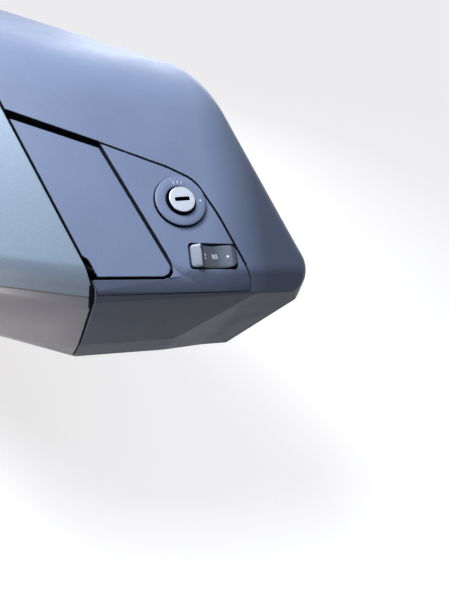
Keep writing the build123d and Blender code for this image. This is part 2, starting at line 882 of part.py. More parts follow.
# Mounting plate on the inboard side, with two sockets and ears for the latch bar
plate_x = (plate_front_x + plate_rear_x) / 2
plate_z = (plate_top_z + plate_bottom_z) / 2
plate_length = plate_front_x - plate_rear_x
plate_height = plate_top_z - plate_bottom_z
inboard = Plane(origin=(0, inboard_y, 0), x_dir=(-1, 0, 0), z_dir=(0, 1, 0))
plate_thickness = -inboard_y
window_length = bar_span + 2 * bar_ear
with BuildPart() as mount_plate:
    with BuildSketch(inboard):
        with Locations((-plate_x, plate_z)):
            RectangleRounded(plate_length, plate_height, plate_corner)
    extrude(amount=plate_base)
    with BuildSketch(inboard):
        with Locations((-plate_x, plate_z)):
            RectangleRounded(plate_length, plate_height, plate_corner)
            RectangleRounded(
                plate_length - 2 * rib_thickness,
                plate_height - 2 * rib_thickness,
                plate_corner - rib_thickness,
                mode=Mode.SUBTRACT,
            )
        for x in socket_xs:
            with Locations((-x, 0)):
                Rectangle(rib_thickness, plate_height * 0.5)
        with Locations((-plate_x, 0)):
            Rectangle(plate_length - 2, rib_thickness)
    extrude(amount=plate_thickness - rib_drop)
    with BuildSketch(inboard):
        for x in socket_xs:
            with Locations((-x, 0)):
                Circle(socket_boss_radius)
        for side in (-1, 1):
            with Locations((-bar_x + side * (bar_span + bar_ear) / 2, bar_z)):
                Rectangle(bar_ear, bar_ear_height)
    extrude(amount=plate_thickness)
    with BuildSketch(inboard.offset(plate_thickness)):
        for x in socket_xs:
            with Locations((-x, 0)):
                Circle(socket_radius)
    extrude(amount=-socket_depth, mode=Mode.SUBTRACT)
    with BuildSketch(inboard):
        with Locations((-bar_x, bar_z)):
            Rectangle(bar_span, bar_ear_height)
    extrude(amount=plate_thickness, mode=Mode.SUBTRACT)
    with BuildSketch(Plane.YZ.offset(bar_x - window_length)):
        with Locations((-bar_back, bar_z)):
            Circle(bar_radius)
    extrude(amount=2 * window_length, mode=Mode.SUBTRACT)
mount_plate.part.label = "mount_plate"
export_step(mount_plate.part, "parts/mount_plate.step")

with BuildPart() as latch_bar:
    with BuildSketch(Plane.YZ.offset(bar_x - bar_span / 2 - bar_ear)):
        with Locations((-bar_back, bar_z)):
            Circle(bar_radius)
    extrude(amount=bar_span + 2 * bar_ear)
latch_bar.part.label = "latch_bar"
export_step(latch_bar.part, "parts/latch_bar.step")

# Rubber buffers that rest on the motorcycle
with BuildPart() as buffers:
    with BuildSketch(inboard.offset(plate_base)):
        for x in buffer_xs:
            with Locations((-x, buffer_z)):
                Circle(buffer_radius)
    extrude(amount=buffer_height)
buffers.part.label = "buffers"
export_step(buffers.part, "parts/buffers.step")

# Runners that the case stands on when it is taken off
with BuildPart() as body_runner:
    with BuildSketch(Plane.XY.offset(bottom_z)):
        with Locations((runner_x, runner_ys[0])):
            SlotOverall(runner_length, runner_width)
    extrude(amount=-runner_height)
body_runner.part.label = "body_runner"
export_step(body_runner.part, "parts/body_runner.step")

with BuildPart() as lid_runner:
    with BuildSketch(Plane.XY.offset(bottom_z)):
        with Locations((runner_x, runner_ys[1])):
            SlotOverall(runner_length, runner_width)
    extrude(amount=-runner_height)
lid_runner.part.label = "lid_runner"
export_step(lid_runner.part, "parts/lid_runner.step")

# Rear reflector
with BuildPart() as reflector:
    with BuildSketch(Plane.YZ.offset(rear_x + reflector_sunk)):
        with Locations((reflector_y, reflector_z)):
            RectangleRounded(
                reflector_length - 2 * seat_gap, reflector_height - 2 * seat_gap, 6 - seat_gap
            )
    extrude(amount=-reflector_thickness)
reflector.part.label = "reflector"
export_step(reflector.part, "parts/reflector.step")
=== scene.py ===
import math

import bmesh
import bpy
from mathutils import Matrix, Vector


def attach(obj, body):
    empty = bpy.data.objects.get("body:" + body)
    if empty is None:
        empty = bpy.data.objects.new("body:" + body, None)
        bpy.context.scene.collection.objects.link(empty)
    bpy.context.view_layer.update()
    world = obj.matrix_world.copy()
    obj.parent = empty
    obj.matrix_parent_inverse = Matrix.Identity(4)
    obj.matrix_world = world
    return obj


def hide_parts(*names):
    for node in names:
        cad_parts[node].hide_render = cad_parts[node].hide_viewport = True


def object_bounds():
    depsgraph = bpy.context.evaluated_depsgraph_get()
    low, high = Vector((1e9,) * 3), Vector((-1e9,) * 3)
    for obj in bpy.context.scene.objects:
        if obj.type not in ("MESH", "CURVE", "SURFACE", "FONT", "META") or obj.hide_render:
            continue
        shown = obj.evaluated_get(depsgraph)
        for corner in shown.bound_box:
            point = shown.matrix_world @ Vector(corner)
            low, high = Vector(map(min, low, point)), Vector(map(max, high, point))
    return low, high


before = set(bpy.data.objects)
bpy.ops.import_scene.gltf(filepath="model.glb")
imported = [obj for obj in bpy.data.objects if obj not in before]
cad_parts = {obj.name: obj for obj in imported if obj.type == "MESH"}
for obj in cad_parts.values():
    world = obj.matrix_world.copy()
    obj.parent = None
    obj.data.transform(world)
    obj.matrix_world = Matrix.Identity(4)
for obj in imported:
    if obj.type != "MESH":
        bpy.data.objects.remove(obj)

cad_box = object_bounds()

# The photograph's viewpoint, in metres and as directions in the row frame
CAMERA_AT = Vector((0.3268, -0.3097, 0.2730))
LOOK_ALONG = Vector((-0.4333, 0.6416, -0.6320))
IMAGE_DOWN = Vector((0.5783, -0.3397, -0.7420))
IMAGE_HEIGHT_PX = 599
FOCAL_PX = 450
SENSOR_MM = 36.0

# The sloping control face: u runs inboard along the crease, w up the slope, n out of the face
MM = 0.001
LOCK = Vector((0.120, -0.096, 0.110))
ALONG_U = Vector((0.4865, 1.0, -0.037)).normalized()
OUT_N = Vector((0.602, -(0.4865 * 0.602 - 0.037), 1.0)).normalized()
UP_W = OUT_N.cross(ALONG_U)


def slope(u, w, n=0.0):
    """A point by its place on the control face, given in millimetres."""
    return LOCK + (u * ALONG_U + w * UP_W + n * OUT_N) * MM


def on_slope(point):
    """The place on the control face of a point, both in millimetres."""
    away = point - LOCK / MM
    return away.dot(ALONG_U), away.dot(UP_W), away.dot(OUT_N)


# ---------------------------------------------------------------- materials

# The body's plastic with painted light and shade: its paler colour where it faces the sky and
# towards the outboard side, a darker painted-shade colour elsewhere

CHARCOAL_LIGHT = (0.165, 0.199, 0.296)
CHARCOAL_DARK = (0.140, 0.170, 0.258)
CHARCOAL_PAINTED_SHADE = (0.042, 0.052, 0.078)
PAINTED_LIGHT_TOWARDS = (0.0, -0.35, 0.94)
PAINTED_LIGHT_FROM = 0.10
PAINTED_LIGHT_TO = 0.80
PAINTED_SHADE_BEGINS = 0.022
PAINTED_SHADE_ENDS = 0.066
PAINTED_SHADE_LEFT = 0.06
# Near-black painted shade on the walls and floor of the handle's recess
RECESS_SHADE_COLOUR = (0.004, 0.004, 0.006)


class Finish:
    """A material under construction, with the few node patterns that the finishes share."""

    def __init__(self, name, **constants):
        self.material = bpy.data.materials.new(name)
        self.material.use_nodes = True
        self.tree = self.material.node_tree
        self.shader = self.tree.nodes["Principled BSDF"]
        for socket, value in constants.items():
            self.shader.inputs[socket.replace("_", " ")].default_value = value
        places = self.tree.nodes.new("ShaderNodeTexCoord")
        self.coords = places.outputs["Object"]
        self.facing = places.outputs["Normal"]

    def link(self, source, target):
        self.tree.links.new(source, target)

    def stretched(self, scale):
        mapping = self.tree.nodes.new("ShaderNodeMapping")
        mapping.inputs["Scale"].default_value = scale
        self.link(self.coords, mapping.inputs["Vector"])
        return mapping.outputs["Vector"]

    def noise(self, scale, detail=2.0, vector=None):
        node = self.tree.nodes.new("ShaderNodeTexNoise")
        node.inputs["Scale"].default_value = scale
        node.inputs["Detail"].default_value = detail
        self.link(vector or self.coords, node.inputs["Vector"])
        return node.outputs["Fac"]

    def maths(self, operation, first, second):
        node = self.tree.nodes.new("ShaderNodeMath")
        node.operation = operation
        for socket, value in zip(node.inputs, (first, second)):
            if isinstance(value, float):
                socket.default_value = value
            else:
                self.link(value, socket)
        return node.outputs[0]

    def along(self, vector, axis):
        node = self.tree.nodes.new("ShaderNodeVectorMath")
        node.operation = "DOT_PRODUCT"
        node.inputs[1].default_value = axis
        self.link(vector, node.inputs[0])
        return node.outputs["Value"]

    def cells(self, scale, output="Distance"):
        node = self.tree.nodes.new("ShaderNodeTexVoronoi")
        node.inputs["Scale"].default_value = scale
        self.link(self.coords, node.inputs["Vector"])
        return node.outputs[output]

    def spread(self, value, low, high, out_low, out_high):
        node = self.tree.nodes.new("ShaderNodeMapRange")
        for socket, number in zip(
            ("From Min", "From Max", "To Min", "To Max"), (low, high, out_low, out_high)
        ):
            node.inputs[socket].default_value = number
        self.link(value, node.inputs["Value"])
        return node.outputs["Result"]

    def colours(self, factor, first, second):
        node = self.tree.nodes.new("ShaderNodeMix")
        node.data_type = "RGBA"
        for socket, colour in ((6, first), (7, second)):
            if isinstance(colour, tuple):
                node.inputs[socket].default_value = (*colour, 1.0)
            else:
                self.link(colour, node.inputs[socket])
        self.link(factor, node.inputs[0])
        return node.outputs[2]

    def paint(self, colour):
        self.link(colour, self.shader.inputs["Base Color"])

    def mottle(self, value, low, high, first, second):
        """Paints one colour into another as a value goes from low to high."""
        self.paint(self.colours(self.spread(value, low, high, 0.0, 1.0), first, second))

    def roughen(self, value):
        self.link(value, self.shader.inputs["Roughness"])

    def soften_edges(self, radius):
        """Rounds the look of sharp edges, for moulded parts."""
        node = self.tree.nodes.new("ShaderNodeBevel")
        node.samples = 6
        node.inputs["Radius"].default_value = radius
        self.link(node.outputs["Normal"], self.shader.inputs["Normal"])

    def bump(self, height, distance, strength=1.0):
        node = self.tree.nodes.new("ShaderNodeBump")
        node.inputs["Strength"].default_value = strength
        node.inputs["Distance"].default_value = distance
        self.link(height, node.inputs["Height"])
        previous = self.shader.inputs["Normal"]
        if previous.is_linked:
            self.link(previous.links[0].from_socket, node.inputs["Normal"])
        self.link(node.outputs["Normal"], previous)


# Radius to which the edges of moulded pieces look rounded
MOULDED_EDGE = 0.0008


def grained_plastic(name, light, dark, roughness, grain=1700.0, depth=0.00006, **more):
    """Moulded plastic with a fine spark-eroded grain and slight handling marks."""
    finish = Finish(name, **more)
    finish.soften_edges(MOULDED_EDGE)
    cloud = finish.noise(14.0, 4.0)
    speck = finish.noise(2600.0, 1.0)
    tone = finish.colours(finish.spread(cloud, 0.3, 0.7, 0.0, 1.0), dark, light)
    flecked = finish.colours(
        finish.spread(speck, 0.35, 0.75, 0.0, 0.3), tone, tuple(min(1, c * 1.7) for c in light)
    )
    finish.paint(flecked)
    rubbed = finish.noise(60.0, 5.0)
    finish.roughen(finish.spread(rubbed, 0.3, 0.7, roughness - 0.05, roughness + 0.05))
    finish.bump(finish.noise(grain, 3.0), depth, 0.5)
    return finish


# Where the handle's recess lies in the control face, in millimetres, for its painted shade
RECESS_U = (-125.0, -6.5)
RECESS_W = (-57.0, 66.0)
RECESS_FLOOR = -3.0
RECESS_DEPTH = -40.0
RECESS_EDGE = -0.4
WALL_FACING = 0.6


def step_between(finish, value, low, high):
    """One where a value lies between two limits."""
    above = finish.maths("GREATER_THAN", value, low)
    below = finish.maths("LESS_THAN", value, high)
    return finish.maths("MULTIPLY", above, below)


def recess_shade_mask(finish):
    """One on the walls and floor of the handle's recess, by place and facing, where near-black
    shade is painted.
    """
    place = finish.tree.nodes.new("ShaderNodeVectorMath")
    place.operation = "SUBTRACT"
    place.inputs[1].default_value = LOCK
    finish.link(finish.coords, place.inputs[0])
    u, w, n = (finish.along(place.outputs[0], axis) for axis in (ALONG_U, UP_W, OUT_N))
    facing = finish.along(finish.facing, OUT_N)
    inside = finish.maths(
        "MULTIPLY",
        step_between(finish, u, RECESS_U[0] * MM, RECESS_U[1] * MM),
        step_between(finish, w, RECESS_W[0] * MM, RECESS_W[1] * MM),
    )
    floor = step_between(finish, n, RECESS_DEPTH * MM, RECESS_FLOOR * MM)
    wall = finish.maths(
        "MULTIPLY",
        step_between(finish, n, RECESS_DEPTH * MM, RECESS_EDGE * MM),
        finish.maths("LESS_THAN", facing, WALL_FACING),
    )
    return finish.maths("MULTIPLY", inside, finish.maths("MAXIMUM", floor, wall))


def charcoal_material(name, with_recess_shade=False):
    """The body's charcoal plastic, with painted light on top and painted shade towards the inboard
    side, and painted shade, near black, in the handle's recess.
    """
    finish = grained_plastic(
        name, CHARCOAL_LIGHT, CHARCOAL_DARK, 0.42,
        Sheen_Weight=0.09, Sheen_Roughness=0.40, Sheen_Tint=(0.80, 0.90, 1.0, 1.0),
        Specular_IOR_Level=0.26,
    )
    plain = finish.shader.inputs["Base Color"].links[0].from_socket
    # Painted light and shade: the plain colour where the face turns to the sky and lies outboard,
    # the darker colour on faces turned away and towards the inboard side
    skyward = finish.spread(
        finish.along(finish.facing, PAINTED_LIGHT_TOWARDS), PAINTED_LIGHT_FROM, PAINTED_LIGHT_TO, 0.0, 1.0
    )
    start = LOCK.dot(ALONG_U)
    outboard = finish.spread(
        finish.along(finish.coords, ALONG_U),
        start + PAINTED_SHADE_BEGINS, start + PAINTED_SHADE_ENDS, 1.0, PAINTED_SHADE_LEFT,
    )
    painted_light = finish.maths("MULTIPLY", outboard, skyward)
    finish.paint(finish.colours(painted_light, CHARCOAL_PAINTED_SHADE, plain))
    if with_recess_shade:
        # Painted shade: near black on the recess's walls and floor
        plain = finish.shader.inputs["Base Color"].links[0].from_socket
        finish.paint(finish.colours(recess_shade_mask(finish), plain, RECESS_SHADE_COLOUR))
    return finish.material


def band_material():
    """The lid's lower band, a warmer dark grey plastic."""
    finish = grained_plastic(
        "warm_band_plastic", (0.165, 0.162, 0.186), (0.134, 0.132, 0.153), 0.42,
        Sheen_Weight=0.2, Sheen_Roughness=0.5, Specular_IOR_Level=0.6,
    )
    return finish.material


def black_plastic_material():
    """Matt black plastic of the hidden mouldings."""
    finish = grained_plastic(
        "black_plastic", (0.030, 0.031, 0.034), (0.020, 0.021, 0.023), 0.55,
        grain=1400.0, depth=0.00008,
    )
    return finish.material


def painted_shade_material():
    """Near-black matt finish that paints the shade down in joints and recesses."""
    finish = Finish("painted_shade_black", Specular_IOR_Level=0.05)
    dust = finish.noise(300.0, 4.0)
    finish.mottle(dust, 0.4, 0.8, (0.004, 0.004, 0.005), (0.008, 0.008, 0.010))
    finish.roughen(finish.spread(dust, 0.3, 0.7, 0.75, 0.85))
    finish.bump(dust, 0.00003, 0.4)
    return finish.material


def button_material():
    """The rocker's satin black plastic, with a painted highlight where the dish rises at its far
    end.
    """
    finish = grained_plastic(
        "button_plastic", (0.044, 0.050, 0.070), (0.030, 0.035, 0.050), 0.36,
        grain=3000.0, depth=0.00002, Specular_IOR_Level=0.7,
    )
    plain = finish.shader.inputs["Base Color"].links[0].from_socket
    # Painted highlight: paler where the face turns back along the rocker, as the dish rises
    painted_highlight = finish.spread(finish.along(finish.facing, -ALONG_U), 0.10, 0.45, 0.0, 1.0)
    finish.paint(finish.colours(painted_highlight, plain, (0.135, 0.155, 0.205)))
    return finish.material


def paint_material():
    """The lid's silver-grey metallic paint, fine flakes under a satin clear coat."""
    finish = Finish(
        "silver_paint", Metallic=0.15, Specular_IOR_Level=0.3, Coat_Weight=0.05, Coat_Roughness=0.4
    )
    finish.soften_edges(MOULDED_EDGE)
    flake = finish.cells(5200.0, "Color")
    bright = finish.spread(finish.cells(2900.0, "Color"), 0.2, 0.95, 0.0, 1.0)
    cloud = finish.noise(9.0, 2.0)
    base = finish.colours(
        finish.spread(cloud, 0.3, 0.7, 0.0, 1.0), (0.165, 0.21, 0.27), (0.185, 0.235, 0.30)
    )
    flaked = finish.colours(finish.spread(bright, 0.55, 1.0, 0.0, 0.45), base, (0.30, 0.36, 0.43))
    darker = finish.colours(finish.spread(flake, 0.0, 0.25, 0.35, 0.0), flaked, (0.145, 0.17, 0.20))
    finish.paint(darker)
    finish.roughen(finish.spread(flake, 0.0, 1.0, 0.42, 0.56))
    finish.bump(finish.cells(2900.0), 0.00004, 0.35)
    return finish.material


def rubber_material():
    """Black rubber of the seal, buffers and runners."""
    finish = Finish("black_rubber", Specular_IOR_Level=0.35)
    dust = finish.noise(90.0, 6.0)
    finish.mottle(dust, 0.45, 0.75, (0.014, 0.014, 0.015), (0.04, 0.039, 0.037))
    finish.roughen(finish.spread(dust, 0.3, 0.7, 0.72, 0.85))
    finish.bump(finish.noise(900.0, 3.0), 0.00005, 0.4)
    return finish.material


def brushed_metal(name, colour, dull, roughness, stretch):
    """Metal with fine brush lines along one axis."""
    finish = Finish(name, Metallic=1.0)
    finish.soften_edges(0.0003)
    lines = finish.noise(1.0, 4.0, finish.stretched(stretch))
    stain = finish.noise(70.0, 4.0)
    finish.mottle(stain, 0.45, 0.75, colour, dull)
    finish.roughen(finish.spread(lines, 0.3, 0.7, roughness - 0.07, roughness + 0.09))
    finish.bump(lines, 0.00002, 0.25)
    return finish.material


def reflector_material():
    """Red reflector plastic with small prism facets under a smooth face."""
    finish = Finish(
        "reflector_red", Coat_Weight=0.25, Coat_Roughness=0.05, Specular_IOR_Level=0.3, IOR=1.49
    )
    facets = finish.cells(420.0)
    finish.mottle(facets, 0.1, 0.6, (0.55, 0.012, 0.010), (0.22, 0.004, 0.004))
    finish.roughen(finish.spread(facets, 0.0, 0.6, 0.18, 0.30))
    finish.bump(facets, 0.0004, 0.7)
    return finish.material


def mark_material():
    """White marking ink, slightly worn."""
    finish = Finish("marking_ink")
    wear = finish.noise(1500.0, 3.0)
    finish.mottle(wear, 0.55, 0.75, (0.72, 0.75, 0.80), (0.32, 0.34, 0.38))
    finish.roughen(finish.spread(wear, 0.3, 0.7, 0.45, 0.6))
    return finish.material


CHARCOAL = charcoal_material("charcoal_plastic")
CHARCOAL_WITH_RECESS_SHADE = charcoal_material("charcoal_with_recess_shade", with_recess_shade=True)
BAND = band_material()
BLACK = black_plastic_material()
PAINTED_SHADE_BLACK = painted_shade_material()
BUTTON = button_material()
PAINT = paint_material()
RUBBER = rubber_material()
STEEL = brushed_metal(
    "zinc_steel", (0.50, 0.50, 0.51), (0.34, 0.33, 0.32), 0.36, (260, 2600, 2600)
)
NICKEL = brushed_metal(
    "satin_nickel", (0.60, 0.66, 0.74), (0.50, 0.55, 0.62), 0.46, (900, 3800, 900)
)
RED = reflector_material()
INK = mark_material()

NODE_MATERIALS = {
    "body_shell": CHARCOAL_WITH_RECESS_SHADE,
    "lock_panel": CHARCOAL_WITH_RECESS_SHADE,
    "handle_flap": CHARCOAL,
    "lock_bezel": CHARCOAL,
    # The handle bay and the lid's seal take the near-black finish of painted shade
    "handle_bay": PAINTED_SHADE_BLACK,
    "mount_plate": BLACK,
    "latch_tongues": BLACK,
    "latch_housings": BLACK,
    "rocker_button": BUTTON,
    "lid_panel": PAINT,
    "lid_shell": BAND,
    "lid_seal": PAINTED_SHADE_BLACK,
    "buffers": RUBBER,
    "body_runner": RUBBER,
    "lid_runner": RUBBER,
    "body_hinges": STEEL,
    "lid_hinges": STEEL,
    "hinge_pins": STEEL,
    "handle_pin": BLACK,
    "latch_bar": STEEL,
    "lock_cylinder": NICKEL,
    "reflector": RED,
}


def dress_nodes():
    """Gives every CAD node its finish."""
    for name, material in NODE_MATERIALS.items():
        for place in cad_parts[name].material_slots:
            place.material = material


# ------------------------------------------------------------------- pieces


def piece(name, mesh, body, material):
    """Puts a finished mesh in the scene as a piece of one body."""
    made = bpy.data.objects.new(name, mesh)
    bpy.context.scene.collection.objects.link(made)
    mesh.materials.clear()
    mesh.materials.append(material)
    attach(made, body)
    return made


def mesh_from(bm, name, smooth_angle=None):
    """Closes a bmesh into a mesh with outward faces."""
    bmesh.ops.remove_doubles(bm, verts=bm.verts, dist=1e-7)
    bmesh.ops.recalc_face_normals(bm, faces=bm.faces)
    mesh = bpy.data.meshes.new(name)
    bm.to_mesh(mesh)
    bm.free()
    if smooth_angle is not None:
        mesh.shade_smooth()
        mesh.set_sharp_from_angle(angle=math.radians(smooth_angle))
    return mesh


def join_rows(bm, low, high):
    """Faces between two closed rows of vertices."""
    for index in range(len(low)):
        after = (index + 1) % len(low)
        bm.faces.new((low[index], low[after], high[after], high[index]))


def circle(radius, steps, offset=0.0):
    """Points of a circle round the middle."""
    turns = [2 * math.pi * (step + offset) / steps for step in range(steps)]
    return [(radius * math.cos(turn), radius * math.sin(turn)) for turn in turns]


def lathe(profile, steps=96):
    """A ring spun round the lock's axis, from (radius, height) in millimetres."""
    bm = bmesh.new()
    rings = []
    for across, up in circle(1.0, steps):
        rings.append([
            bm.verts.new(slope(radius * across, radius * up, height)) for radius, height in profile
        ])
    for first, second in zip(rings, rings[1:] + rings[:1]):
        join_rows(bm, first, second)
    return bm


def make_camera():
    """The camera at the photograph's viewpoint."""
    data = bpy.data.cameras.new("photo_camera")
    data.sensor_fit = "VERTICAL"
    data.sensor_height = SENSOR_MM
    data.lens = FOCAL_PX / IMAGE_HEIGHT_PX * SENSOR_MM
    data.clip_start = 0.01
    camera = bpy.data.objects.new("photo_camera", data)
    back = -LOOK_ALONG.normalized()
    up = -(IMAGE_DOWN - IMAGE_DOWN.dot(back) * back).normalized()
    right = up.cross(back)
    camera.matrix_world = Matrix.Translation(CAMERA_AT) @ Matrix(
        (right, up, back)
    ).transposed().to_4x4()
    bpy.context.scene.collection.objects.link(camera)
    bpy.context.scene.camera = camera
    return camera


# ------------------------------------------------------- reshaped CAD nodes

# Joint between body and lid, and the rolled lower edge of the lid's painted skin
LID_EDGE_Y = -178.5
LID_EDGE_MOVE = 0.7
LID_CREASE = Vector((139.08, -176.0, 67.96))
LID_SWEEP = Vector((0.86, 1.0, 0.0)).normalized()
LIP_NORMAL = (0.905, 0.4255)
BAND_NORMAL = (0.980, -0.1991)
ROLL_RADIUS = 11.0
ROLL_STEPS = 9
ROLL_REACH = 12.0
OLD_ROLL_DEPTH = 0.16
FLAP_EDGE_MOVE = 2.2
FLAP_CORNER_W = (-45.0, -41.0)
FLAP_CORNER_BACK = 0.4
FLAP_EDGE_DEPTH = 0.6
FLAP_UNDERSIDE = -4.8
SMOOTH_ANGLE = 34


def merged_copy(node):
    """A CAD node's mesh in millimetres with its triangles joined up."""
    bm = bmesh.new()
    bm.from_mesh(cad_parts[node].data)
    bmesh.ops.scale(bm, vec=(1 / MM,) * 3, verts=bm.verts)
    bmesh.ops.remove_doubles(bm, verts=bm.verts, dist=0.002)
    return bm


def stand_in(name, bm, node, body, material):
    """Puts a reshaped copy in the CAD node's place."""
    bmesh.ops.scale(bm, vec=(MM,) * 3, verts=bm.verts)
    bmesh.ops.recalc_face_normals(bm, faces=bm.faces)
    mesh = bpy.data.meshes.new(name)
    bm.to_mesh(mesh)
    bm.free()
    mesh.shade_smooth()
    mesh.set_sharp_from_angle(angle=math.radians(SMOOTH_ANGLE))
    made = piece(name, mesh, body, material)
    evened = made.modifiers.new("flat_faces_stay_flat", "WEIGHTED_NORMAL")
    evened.keep_sharp = True
    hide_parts(node)
    return made


def slide_edge(bm, on_edge, across, move):
    """Slides the vertices of an edge along their own outer surface."""
    steps = {}
    for vert in bm.verts:
        if not on_edge(vert.co):
            continue
        outer = Vector((0, 0, 0))
        for face in vert.link_faces:
            if abs(face.normal.dot(across)) < 0.9:
                outer += face.normal * face.calc_area()
        if outer.length < 1e-6:
            steps[vert] = across * move
            continue
        outer.normalize()
        along = across - outer * outer.dot(across)
        steps[vert] = along * (move / max(0.3, along.dot(across)))
    for vert, step in steps.items():
        vert.co += step


def lid_profile(point):
    """A point's place across the lid's crease: outwards and up, in millimetres."""
    away = point - LID_CREASE
    across = Vector((LID_SWEEP.y, -LID_SWEEP.x, 0.0))
    return Vector((away.dot(across), away.z))


def roll_crease(bm):
    """Rolls the lid skin over the crease on one wide radius."""
    lip, band = Vector(LIP_NORMAL).normalized(), Vector(BAND_NORMAL).normalized()
    turn = lip.angle(band)
    centre = -(lip + band).normalized() * (ROLL_RADIUS / math.cos(turn / 2))
    across = Vector((LID_SWEEP.y, -LID_SWEEP.x, 0.0))
    axis_point = LID_CREASE + across * centre.x + Vector((0, 0, centre.y))
    start = math.atan2(lip.y, lip.x)
    end = math.atan2(band.y, band.x)
    for step in range(ROLL_STEPS + 1):
        angle = start + (end - start) * step / ROLL_STEPS
        side = across * -math.sin(angle) + Vector((0, 0, math.cos(angle)))
        near = [f for f in bm.faces if any(lid_profile(v.co).length < ROLL_REACH for v in f.verts)]
        parts = set(near)
        for face in near:
            parts.update(face.edges)
            parts.update(face.verts)
        bmesh.ops.bisect_plane(bm, geom=list(parts), dist=0.01, plane_co=axis_point, plane_no=side)
    for vert in bm.verts:
        place = lid_profile(vert.co)
        if place.length > ROLL_REACH:
            continue
        if max(place.dot(lip), place.dot(band)) < -OLD_ROLL_DEPTH:
            continue
        from_axis = place - centre
        angle = math.atan2(from_axis.y, from_axis.x)
        if end - 0.01 < angle < start + 0.01:
            inward = from_axis.normalized() * (ROLL_RADIUS - from_axis.length)
            vert.co += across * inward.x + Vector((0, 0, inward.y))


def make_lid():
    """The lid's skin and shell, nearer to the body and rolled over at the crease."""
    edge = lambda co: co.y > LID_EDGE_Y - 0.01
    skin = merged_copy("lid_panel")
    slide_edge(skin, edge, Vector((0, 1, 0)), LID_EDGE_MOVE)
    roll_crease(skin)
    stand_in("lid_skin", skin, "lid_panel", "lid", PAINT)
    shell = merged_copy("lid_shell")
    slide_edge(shell, edge, Vector((0, 1, 0)), LID_EDGE_MOVE)
    stand_in("lid_lower_shell", shell, "lid_shell", "lid", BAND)


def make_flap():
    """The handle flap, carried on towards the lid except at the low corner, which swings past."""
    flap = merged_copy("handle_flap")
    low = min(v.co.y for v in flap.verts)
    first, last = FLAP_CORNER_W
    for step in range(5):
        cut = LOCK / MM + UP_W * (first + (last - first) * step / 4)
        parts = flap.verts[:] + flap.edges[:] + flap.faces[:]
        bmesh.ops.bisect_plane(flap, geom=parts, dist=0.001, plane_co=cut, plane_no=UP_W)
    for vert in flap.verts:
        _, w, n = on_slope(vert.co)
        if vert.co.y > low + FLAP_EDGE_DEPTH or n < FLAP_UNDERSIDE:
            continue
        share = min(1.0, max(0.0, (w - first) / (last - first)))
        share = share * share * (3 - 2 * share)
        vert.co -= ALONG_U * (FLAP_EDGE_MOVE * share - FLAP_CORNER_BACK * (1 - share))
    stand_in("carry_handle", flap, "handle_flap", "handle", CHARCOAL)


# The curved seam between the lock panel and the body, and the near-black line of painted shade that
# fills it
PANEL_SEAM_MOVE = 0.75
SEAM_FACING = 0.3
SEAM_IN = 1.0
SEAM_OUT = 1.4
SEAM_PROUD = 0.05
SEAM_DEEP = 0.7
SEAM_UNDER = 0.02
LOCK_ROOM = 16.0
ROCKER_ROOM = (21.0, 11.5)


def in_controls(u, w):
    """Whether a place on the slope belongs to the openings of the lock or the rocker."""
    by_rocker = abs(u - ROCKER_U) < ROCKER_ROOM[0] and abs(w - ROCKER_W) < ROCKER_ROOM[1]
    return by_rocker or math.hypot(u, w) < LOCK_ROOM


def on_seam(outward, u, left_end):
    """Whether an edge of the panel that faces outward lies on the curved seam."""
    rightward, upward = outward.dot(ALONG_U), outward.dot(UP_W)
    return rightward > SEAM_FACING or (upward > SEAM_FACING and u > left_end)


def make_lock_panel():
    """The lock panel, drawn in a little along its curved seam with the body."""
    panel = merged_copy("lock_panel")
    steps = {}
    for vert in panel.verts:
        u, w, _ = on_slope(vert.co)
        if in_controls(u, w) or w < -57:
            continue
        outward = Vector((0, 0, 0))
        for face in vert.link_faces:
            if abs(face.normal.dot(OUT_N)) < SEAM_FACING:
                outward += face.normal * face.calc_area()
        if outward.length < 1e-6:
            continue
        outward.normalize()
        if on_seam(outward, u, -54):
            steps[vert] = -outward * PANEL_SEAM_MOVE
    for vert, step in steps.items():
        vert.co += step
    stand_in("control_panel", panel, "lock_panel", "case", CHARCOAL_WITH_RECESS_SHADE)


def seam_line():
    """The curved seam's corners on the control face, from the handle round to the lip."""
    found = []
    bm = merged_copy("lock_panel")
    for vert in bm.verts:
        u, w, n = on_slope(vert.co)
        walls = [f.normal for f in vert.link_faces if abs(f.normal.dot(OUT_N)) < SEAM_FACING]
        if abs(n) > 0.05 or not walls or in_controls(u, w) or w < -50:
            continue
        outward = sum(walls, Vector()).normalized()
        if on_seam(outward, u, -56):
            side = (outward.dot(ALONG_U), outward.dot(UP_W))
            found.append((math.atan2(w + 40, u + 30), (u, w), side))
    bm.free()
    found.sort(reverse=True)
    return [(place, side) for _, place, side in found]


def make_seam():
    """A near-black line of painted shade in the seam between the lock panel and the body."""
    bm = bmesh.new()
    rows = []
    profile = (
        (-SEAM_IN, -SEAM_DEEP), (SEAM_OUT, -SEAM_DEEP), (SEAM_OUT, -SEAM_UNDER),
        (SEAM_OUT / 2, SEAM_PROUD), (-SEAM_IN / 2, SEAM_PROUD), (-SEAM_IN, -SEAM_UNDER),
    )
    for (u, w), (side_u, side_w) in seam_line():
        size = math.hypot(side_u, side_w)
        du, dw = side_u / size, side_w / size
        rows.append([
            bm.verts.new(slope(u + du * reach, w + dw * reach, height)) for reach, height in profile
        ])
    for low, high in zip(rows, rows[1:]):
        join_rows(bm, low, high)
    bm.faces.new(rows[0])
    bm.faces.new(list(reversed(rows[-1])))
    piece("panel_seam_rubber", mesh_from(bm, "panel_seam_rubber", 60), "case", PAINTED_SHADE_BLACK)


# ----------------------------------------------------- lock, rocker and marks

RING_RADIUS = 19.4
RING_HEIGHT = 2.5
RING_BORE = 11.4
